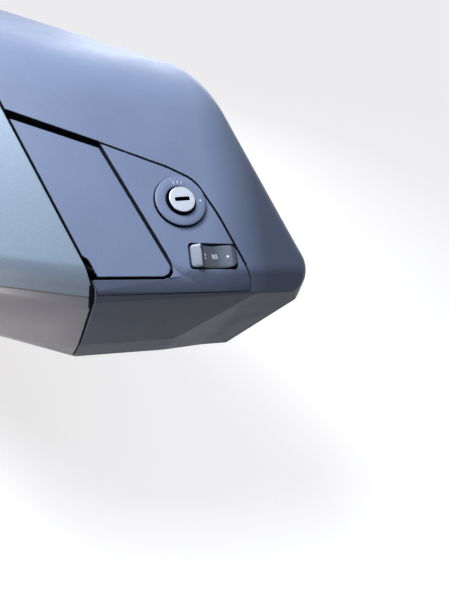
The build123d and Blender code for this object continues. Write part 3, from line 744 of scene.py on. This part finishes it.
# Height up the ring's wall of its near-black seat, which paints the shade there
RING_WALL_SHADE_TOP = 1.9
KEY_RADIUS = 9.8
KEY_TOP = 5.6
KEY_STEPS = 72
SLOT_LENGTH = 11.4
SLOT_WIDTH = 3.1
SLOT_DEPTH = 3.0
SLOT_TURN = 8
DOT_RADIUS = 0.75
DOT_PLACE = (15.1, 1.2)
STROKE_TURNS = (84, 96, 108)
STROKE_RADIUS = 14.6
STROKE_SIZE = (2.3, 0.5)
INK_HEIGHT = 0.06
INK_ROOT = 0.05

# The rocker, in the control face's own millimetres
ROCKER_U = 21.0
ROCKER_W = -41.7
ROCKER_HALF_LENGTH = 17.6
ROCKER_HALF_WIDTH = 8.7
ROCKER_COLUMNS = 72
ROCKER_ROWS = 28
ROCKER_FOOT = -9.0
RIDGE_PLACE = -10.6
RIDGE_HEIGHT = 4.2
WEDGE_FOOT = 0.2
DISH_DEPTH = 4.9
DISH_LEAN = 0.62
DISH_FALL = 1.4
SIDE_ROLL_FROM = 0.82
SIDE_ROLL_DROP = 0.7
END_ROLL_FROM = 13.2
END_ROLL_DROP = 1.3


def make_lock_ring():
    """The raised ring round the lock, with a near-black seat ring under it and a near-black throat
    down its bore, both painted shade.
    """
    bore, rim, top, dark = RING_BORE, RING_RADIUS, RING_HEIGHT, RING_WALL_SHADE_TOP
    profile = [
        (bore, dark - 0.1), (rim, dark - 0.1), (rim, top - 0.5), (rim - 0.15, top - 0.2),
        (rim - 0.5, top), (bore + 0.7, top), (bore + 0.2, top - 0.2), (bore, top - 0.7),
    ]
    ring_mesh = mesh_from(lathe(profile), "lock_ring", 40)
    ring = piece("lock_ring", ring_mesh, "case", CHARCOAL)
    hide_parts("lock_bezel")
    # Painted shade: the near-black seat darkens the ring's lower wall
    seat = [(bore, -0.1), (rim + 0.8, -0.1), (rim + 0.75, 0.4), (rim + 0.1, dark), (bore, dark)]
    seat_mesh = mesh_from(lathe(seat), "lock_ring_seat", 50)
    piece("lock_ring_seat", seat_mesh, "case", PAINTED_SHADE_BLACK)
    # Painted shade: a near-black throat lines the bore round the key face
    inner = KEY_RADIUS + 0.1
    throat = [
        (inner, -0.5), (bore + 0.1, -0.5), (bore + 0.1, 1.2), (bore - 0.4, 1.45), (inner, 0.9),
    ]
    throat_mesh = mesh_from(lathe(throat), "lock_throat", 50)
    piece("lock_throat", throat_mesh, "case", PAINTED_SHADE_BLACK)


def stacked(loops):
    """A closed form through loops of equal length, given as (outline, height) in millimetres."""
    bm = bmesh.new()
    rows = [[bm.verts.new(slope(u, w, height)) for u, w in outline] for outline, height in loops]
    for low, high in zip(rows, rows[1:]):
        join_rows(bm, low, high)
    bm.faces.new(list(reversed(rows[0])))
    bm.faces.new(rows[-1])
    return bm


def slot_outline(steps):
    """The key slot's outline, a point for each direction from the middle."""
    points = []
    turned = math.radians(SLOT_TURN)
    for along, across in circle(1.0, steps, 0.5):
        stretch = min(
            SLOT_LENGTH / 2 / max(1e-6, abs(along)), SLOT_WIDTH / 2 / max(1e-6, abs(across))
        )
        points.append((
            stretch * (along * math.cos(turned) - across * math.sin(turned)),
            stretch * (along * math.sin(turned) + across * math.cos(turned)),
        ))
    return points


def make_key_face():
    """The nickel key face, standing proud, with painted shade, near black, on its wall and down its
    key slot.
    """
    slot = slot_outline(KEY_STEPS)
    loops = [
        (circle(KEY_RADIUS - inset, KEY_STEPS, 0.5), height) for inset, height in (
            (0.0, -1.0), (0.0, KEY_TOP - 0.55), (0.15, KEY_TOP - 0.2), (0.5, KEY_TOP)
        )
    ]
    bm = stacked(loops + [(slot, KEY_TOP), (slot, KEY_TOP - SLOT_DEPTH)])
    made = piece("key_face", mesh_from(bm, "key_face", 20), "case", NICKEL)
    # Painted shade: faces below the top's rim, the wall and the slot, take the near-black finish
    made.data.materials.append(PAINTED_SHADE_BLACK)
    for face in made.data.polygons:
        if (face.center - LOCK).dot(OUT_N) / MM < KEY_TOP - 0.6:
            face.material_index = 1
    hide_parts("lock_cylinder")


def flat_mark(bm, outline, height_at, root=INK_ROOT):
    """Adds a thin closed plate of ink with the given outline, on a surface of given height."""
    bottom = [bm.verts.new(slope(u, w, height_at(u, w) - root)) for u, w in outline]
    top = [bm.verts.new(slope(u, w, height_at(u, w) + INK_HEIGHT)) for u, w in outline]
    bm.faces.new(top)
    bm.faces.new(list(reversed(bottom)))
    join_rows(bm, bottom, top)


def disc(u, w, radius):
    """Outline of a round dot."""
    return [(u + across, w + up) for across, up in circle(radius, 20)]


def bar(u, w, length, width, turn):
    """Outline of a short straight stroke."""
    along = (math.cos(turn), math.sin(turn))
    across = (-along[1], along[0])
    corners = []
    for a, b in ((-1, -1), (1, -1), (1, 1), (-1, 1)):
        corners.append((
            u + a * length / 2 * along[0] + b * width / 2 * across[0],
            w + a * length / 2 * along[1] + b * width / 2 * across[1],
        ))
    return corners


def make_lock_marks():
    """A white dot and three short strokes on the ring, for the key's positions."""
    bm = bmesh.new()
    on_ring = lambda u, w: RING_HEIGHT
    flat_mark(bm, disc(*DOT_PLACE, DOT_RADIUS), on_ring)
    for degrees in STROKE_TURNS:
        turn = math.radians(degrees)
        u, w = STROKE_RADIUS * math.cos(turn), STROKE_RADIUS * math.sin(turn)
        flat_mark(bm, bar(u, w, *STROKE_SIZE, turn), on_ring)
    piece("lock_marks", mesh_from(bm, "lock_marks"), "case", INK)


def rocker_height(a, b):
    """Height of the rocker's face: a wedge, a ridge and a dish, from its own centre."""
    if a < RIDGE_PLACE:
        along = (a + ROCKER_HALF_LENGTH) / (RIDGE_PLACE + ROCKER_HALF_LENGTH)
        height = WEDGE_FOOT + (RIDGE_HEIGHT - WEDGE_FOOT) * along
    else:
        along = (a - RIDGE_PLACE) / (ROCKER_HALF_LENGTH - RIDGE_PLACE)
        dish = math.sin(math.pi * min(1.0, along) ** DISH_LEAN)
        height = RIDGE_HEIGHT - DISH_DEPTH * dish - DISH_FALL * along
    side = max(0.0, abs(b) / ROCKER_HALF_WIDTH - SIDE_ROLL_FROM) / (1 - SIDE_ROLL_FROM)
    end = max(0.0, (a - END_ROLL_FROM) / (ROCKER_HALF_LENGTH - END_ROLL_FROM))
    return height - SIDE_ROLL_DROP * side ** 2 - END_ROLL_DROP * end ** 2.2


def rocker_point(column, row):
    """A grid point of the rocker's face, drawn in to rounded corners."""
    a = -1 + 2 * column / ROCKER_COLUMNS
    b = -1 + 2 * row / ROCKER_ROWS
    power = 9 if a < 0 else 5
    shrink = max(abs(a), abs(b)) / max(1e-6, (abs(a) ** power + abs(b) ** power) ** (1 / power))
    return a * shrink * ROCKER_HALF_LENGTH, b * shrink * ROCKER_HALF_WIDTH


def make_rocker():
    """The rocker as a closed form with its wedge, ridge and dish."""
    bm = bmesh.new()
    top = {}
    for column in range(ROCKER_COLUMNS + 1):
        for row in range(ROCKER_ROWS + 1):
            a, b = rocker_point(column, row)
            top[column, row] = bm.verts.new(slope(ROCKER_U + a, ROCKER_W + b, rocker_height(a, b)))
    for column in range(ROCKER_COLUMNS):
        for row in range(ROCKER_ROWS):
            bm.faces.new((top[column, row], top[column + 1, row],
                          top[column + 1, row + 1], top[column, row + 1]))
    rim = [(c, 0) for c in range(ROCKER_COLUMNS)]
    rim += [(ROCKER_COLUMNS, r) for r in range(ROCKER_ROWS)]
    rim += [(c, ROCKER_ROWS) for c in range(ROCKER_COLUMNS, 0, -1)]
    rim += [(0, r) for r in range(ROCKER_ROWS, 0, -1)]
    foot = []
    for place in rim:
        a, b = rocker_point(*place)
        foot.append(bm.verts.new(slope(ROCKER_U + a, ROCKER_W + b, ROCKER_FOOT)))
    join_rows(bm, foot, [top[place] for place in rim])
    bm.faces.new(foot)
    rocker = piece("rocker", mesh_from(bm, "rocker", 30), "case", BUTTON)
    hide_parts("rocker_button")


def make_rocker_marks():
    """Plain white marks in the rocker's dish: two bars, three waves and a dot."""
    bm = bmesh.new()
    marks = [
        bar(-6.6, 1.2, 0.9, 2.2, 0.25), bar(-6.6, -1.6, 0.9, 1.6, 0.25), disc(11.0, -0.3, 0.85),
    ]
    for offset in (-1.5, 0.0, 1.5):
        left = [(1.2 + offset + 0.35 * math.sin(t * 1.57), t * 0.9 - 1.8) for t in range(5)]
        right = [(u + 0.28, w) for u, w in reversed(left)]
        marks.append([(u - 0.28, w) for u, w in left] + right)
    in_dish = lambda u, w: rocker_height(u - ROCKER_U, w - ROCKER_W)
    for outline in marks:
        flat_mark(bm, [(ROCKER_U + a, ROCKER_W + b) for a, b in outline], in_dish, root=0.1)
    piece("rocker_marks", mesh_from(bm, "rocker_marks"), "case", INK)


# ------------------------------------------------------------------- screws

SCREW_STEPS = 36
SCREW_SOCKET = 0.5
SCREW_PROFILE = (
    (1.0, -0.05), (1.0, 0.18), (0.97, 0.30), (0.88, 0.40), (0.75, 0.46), (0.62, 0.48)
)
SOCKET_HEIGHTS = (0.46, 0.10)
HINGE_SCREW_RADIUS = 0.0030
PLATE_SCREW_RADIUS = 0.0042
HINGE_CENTRES = (-0.140, -0.226)
HINGE_SCREW_SPREAD = 0.014
BODY_LEAF_Y = -0.158
LID_LEAF_Y = -0.1965
LEAF_Z = -0.177
PLATE_FACE_Y = -0.008
PLATE_SCREWS = ((0.033, 0.075), (-0.243, 0.075), (0.033, -0.021), (-0.243, -0.021), (-0.052, 0.058),
                (-0.158, 0.058))


def screw_head():
    """A pan head of unit radius with a hexagon socket, standing on Z."""
    bm = bmesh.new()
    turns = [2 * math.pi * step / SCREW_STEPS for step in range(SCREW_STEPS)]

    def hexagon(turn):
        part = (turn + math.pi / 6) % (math.pi / 3) - math.pi / 6
        return SCREW_SOCKET * math.cos(math.pi / 6) / math.cos(part)

    def row(radius_at, height):
        return [
            bm.verts.new((radius_at(t) * math.cos(t), radius_at(t) * math.sin(t), height))
            for t in turns
        ]

    rows = [row(lambda turn: radius, height) for radius, height in SCREW_PROFILE]
    rows += [row(hexagon, height) for height in SOCKET_HEIGHTS]
    for low, high in zip(rows, rows[1:]):
        join_rows(bm, low, high)
    bm.faces.new(list(reversed(rows[0])))
    bm.faces.new(rows[-1])
    return mesh_from(bm, "screw_head", 30)


def screw_tree():
    """Puts a screw head on every point, turned and sized by its named inputs."""
    tree = bpy.data.node_groups.new("screws_on_points", "GeometryNodeTree")
    face = tree.interface
    face.new_socket("Points", in_out="INPUT", socket_type="NodeSocketGeometry")
    face.new_socket("Head", in_out="INPUT", socket_type="NodeSocketObject")
    face.new_socket("Radius", in_out="INPUT", socket_type="NodeSocketFloat")
    face.new_socket("Facing", in_out="INPUT", socket_type="NodeSocketVector")
    face.new_socket("Finish", in_out="INPUT", socket_type="NodeSocketMaterial")
    face.new_socket("Screws", in_out="OUTPUT", socket_type="NodeSocketGeometry")
    nodes, link = tree.nodes, tree.links.new
    given = nodes.new("NodeGroupInput").outputs
    head = nodes.new("GeometryNodeObjectInfo")
    turned = nodes.new("FunctionNodeAlignRotationToVector")
    turned.axis = "Z"
    placed = nodes.new("GeometryNodeInstanceOnPoints")
    real = nodes.new("GeometryNodeRealizeInstances")
    dressed = nodes.new("GeometryNodeSetMaterial")
    result = nodes.new("NodeGroupOutput")
    link(given["Head"], head.inputs["Object"])
    link(given["Facing"], turned.inputs["Vector"])
    link(given["Points"], placed.inputs["Points"])
    link(head.outputs["Geometry"], placed.inputs["Instance"])
    link(turned.outputs["Rotation"], placed.inputs["Rotation"])
    link(given["Radius"], placed.inputs["Scale"])
    link(placed.outputs["Instances"], real.inputs["Geometry"])
    link(real.outputs["Geometry"], dressed.inputs["Geometry"])
    link(given["Finish"], dressed.inputs["Material"])
    link(dressed.outputs["Geometry"], result.inputs["Screws"])
    return tree


def make_screws(name, tree, head, points, radius, facing, body):
    """One set of screws as a real mesh piece."""
    mesh = bpy.data.meshes.new(name + "_points")
    mesh.from_pydata(points, [], [])
    host = bpy.data.objects.new(name + "_points", mesh)
    bpy.context.scene.collection.objects.link(host)
    maker = host.modifiers.new("screws", "NODES")
    maker.node_group = tree
    values = {"Head": head, "Radius": radius, "Facing": facing, "Finish": STEEL}
    for socket in tree.interface.items_tree:
        if socket.in_out == "INPUT" and socket.name in values:
            maker[socket.identifier] = values[socket.name]
    bpy.context.view_layer.update()
    shaped = host.evaluated_get(bpy.context.evaluated_depsgraph_get())
    made = bpy.data.meshes.new_from_object(shaped)
    bpy.data.objects.remove(host)
    made.name = name
    piece(name, made, body, STEEL)


def make_all_screws():
    """Screws of the hinge leaves and the mounting plate."""
    head = bpy.data.objects.new("screw_head", screw_head())
    bpy.context.scene.collection.objects.link(head)
    tree = screw_tree()
    down, inboard = (0, 0, -1), (0, 1, 0)
    spots = [centre + side * HINGE_SCREW_SPREAD for centre in HINGE_CENTRES for side in (-1, 1)]
    for name, leaf_y, body in (
        ("body_hinge_screws", BODY_LEAF_Y, "case"), ("lid_hinge_screws", LID_LEAF_Y, "lid")
    ):
        leaf = [(x, leaf_y, LEAF_Z) for x in spots]
        make_screws(name, tree, head, leaf, HINGE_SCREW_RADIUS, down, body)
    plate = [(x, PLATE_FACE_Y, z) for x, z in PLATE_SCREWS]
    make_screws("plate_screws", tree, head, plate, PLATE_SCREW_RADIUS, inboard, "case")
    bpy.data.objects.remove(head)


# ------------------------------------------------------------ floor and light

# The floor lies low enough for the open lid, since the case hangs on its mount
FLOOR_GAP = 0.080
FLOOR_HALF_SIZE = 30.0
FLOOR_COLOUR = (0.40, 0.39, 0.385, 1)
FLOOR_GLOW_COLOUR = (0.90, 0.88, 0.87, 1)
FLOOR_GLOW = 0.78
FLOOR_QUIET_COLOUR = (0.07, 0.067, 0.064, 1)

# The world's light by height, from straight down at 0 to straight up at 1
SKY_STRENGTH = 0.75
SKY_STOPS = (
    (0.48, (0.05, 0.047, 0.044)),
    (0.56, (0.10, 0.10, 0.11)),
    (0.80, (0.46, 0.52, 0.64)),
    (1.00, (0.62, 0.70, 0.88)),
)
BACKDROP_COLOUR = (0.86, 0.87, 0.89, 1)

# Name, place, target, size, spread in degrees, power and colour: a soft key over the rear
# outboard top, a low warm lamp by the lid, and a weak fill behind
LAMPS = (
    ("key_lamp", (-0.28, -0.42, 0.92), (0.0, -0.17, 0.13), 0.45, 110, 6.3, (0.86, 0.93, 1.0)),
    ("low_lamp", (0.16, -0.62, -0.10), (0.05, -0.22, 0.03), 0.12, 50, 0.16, (1.0, 0.93, 0.87)),
    ("back_fill", (-0.9, 0.9, 0.5), (-0.1, 0.0, 0.0), 0.9, 120, 3.0, (0.97, 0.98, 1.0)),
)


def rays_that_see(tree):
    """One for the rays that show the pale background: straight, mirrored or through glass."""
    path = tree.nodes.new("ShaderNodeLightPath")
    seen = path.outputs["Is Camera Ray"]
    for other in ("Is Glossy Ray", "Is Transmission Ray"):
        both = tree.nodes.new("ShaderNodeMath")
        both.operation = "MAXIMUM"
        tree.links.new(seen, both.inputs[0])
        tree.links.new(path.outputs[other], both.inputs[1])
        seen = both.outputs[0]
    return seen


def make_floor():
    """A plain pale floor that keeps the shadow and throws little light back."""
    low = cad_box[0][2] - FLOOR_GAP
    bm = bmesh.new()
    bmesh.ops.create_grid(bm, x_segments=1, y_segments=1, size=FLOOR_HALF_SIZE)
    mesh = bpy.data.meshes.new("floor")
    bm.to_mesh(mesh)
    bm.free()
    floor = bpy.data.objects.new("floor", mesh)
    floor.location.z = low
    bpy.context.scene.collection.objects.link(floor)
    material = bpy.data.materials.new("pale_floor")
    material.use_nodes = True
    tree = material.node_tree
    tree.nodes.clear()
    lit = tree.nodes.new("ShaderNodeBsdfDiffuse")
    lit.inputs["Color"].default_value = FLOOR_COLOUR
    glow = tree.nodes.new("ShaderNodeEmission")
    glow.inputs["Color"].default_value = FLOOR_GLOW_COLOUR
    glow.inputs["Strength"].default_value = FLOOR_GLOW
    pale = tree.nodes.new("ShaderNodeAddShader")
    tree.links.new(lit.outputs[0], pale.inputs[0])
    tree.links.new(glow.outputs[0], pale.inputs[1])
    quiet = tree.nodes.new("ShaderNodeBsdfDiffuse")
    quiet.inputs["Color"].default_value = FLOOR_QUIET_COLOUR
    mix = tree.nodes.new("ShaderNodeMixShader")
    tree.links.new(rays_that_see(tree), mix.inputs[0])
    tree.links.new(quiet.outputs[0], mix.inputs[1])
    tree.links.new(pale.outputs[0], mix.inputs[2])
    output = tree.nodes.new("ShaderNodeOutputMaterial")
    tree.links.new(mix.outputs[0], output.inputs["Surface"])
    mesh.materials.append(material)


def make_world():
    """Soft light from all round, cool above and warm grey below, with a pale backdrop."""
    world = bpy.data.worlds.new("studio")
    bpy.context.scene.world = world
    world.use_nodes = True
    tree = world.node_tree
    light = tree.nodes["Background"]
    light.inputs["Strength"].default_value = SKY_STRENGTH
    coords = tree.nodes.new("ShaderNodeTexCoord")
    split = tree.nodes.new("ShaderNodeSeparateXYZ")
    tree.links.new(coords.outputs["Generated"], split.inputs[0])
    ramp = tree.nodes.new("ShaderNodeValToRGB")
    rise = tree.nodes.new("ShaderNodeMapRange")
    rise.inputs["From Min"].default_value = -1.0
    tree.links.new(split.outputs["Z"], rise.inputs["Value"])
    tree.links.new(rise.outputs["Result"], ramp.inputs["Fac"])
    stops = ramp.color_ramp.elements
    for index, (height, colour) in enumerate(SKY_STOPS):
        stop = stops[index] if index < 2 else stops.new(height)
        stop.position, stop.color = height, (*colour, 1)
    tree.links.new(ramp.outputs["Color"], light.inputs["Color"])
    backdrop = tree.nodes.new("ShaderNodeBackground")
    backdrop.inputs["Color"].default_value = BACKDROP_COLOUR
    mix = tree.nodes.new("ShaderNodeMixShader")
    tree.links.new(rays_that_see(tree), mix.inputs[0])
    tree.links.new(light.outputs[0], mix.inputs[1])
    tree.links.new(backdrop.outputs[0], mix.inputs[2])
    tree.links.new(mix.outputs[0], tree.nodes["World Output"].inputs["Surface"])


def make_lamp(name, place, target, size, spread, power, colour):
    """A square soft lamp that faces a point of the case, with its spread in degrees."""
    data = bpy.data.lights.new(name, "AREA")
    data.shape = "SQUARE"
    data.size = size
    data.spread = math.radians(spread)
    data.energy = power
    data.color = colour
    lamp = bpy.data.objects.new(name, data)
    lamp.location = place
    aim = Vector(target) - Vector(place)
    lamp.rotation_euler = aim.to_track_quat("-Z", "Y").to_euler()
    bpy.context.scene.collection.objects.link(lamp)


make_camera()
dress_nodes()
make_lid()
make_flap()
make_lock_panel()
make_seam()
make_lock_ring()
make_key_face()
make_lock_marks()
make_rocker()
make_rocker_marks()
make_all_screws()
make_floor()
make_world()
for lamp in LAMPS:
    make_lamp(*lamp)
bpy.context.scene.view_settings.view_transform = "Standard"
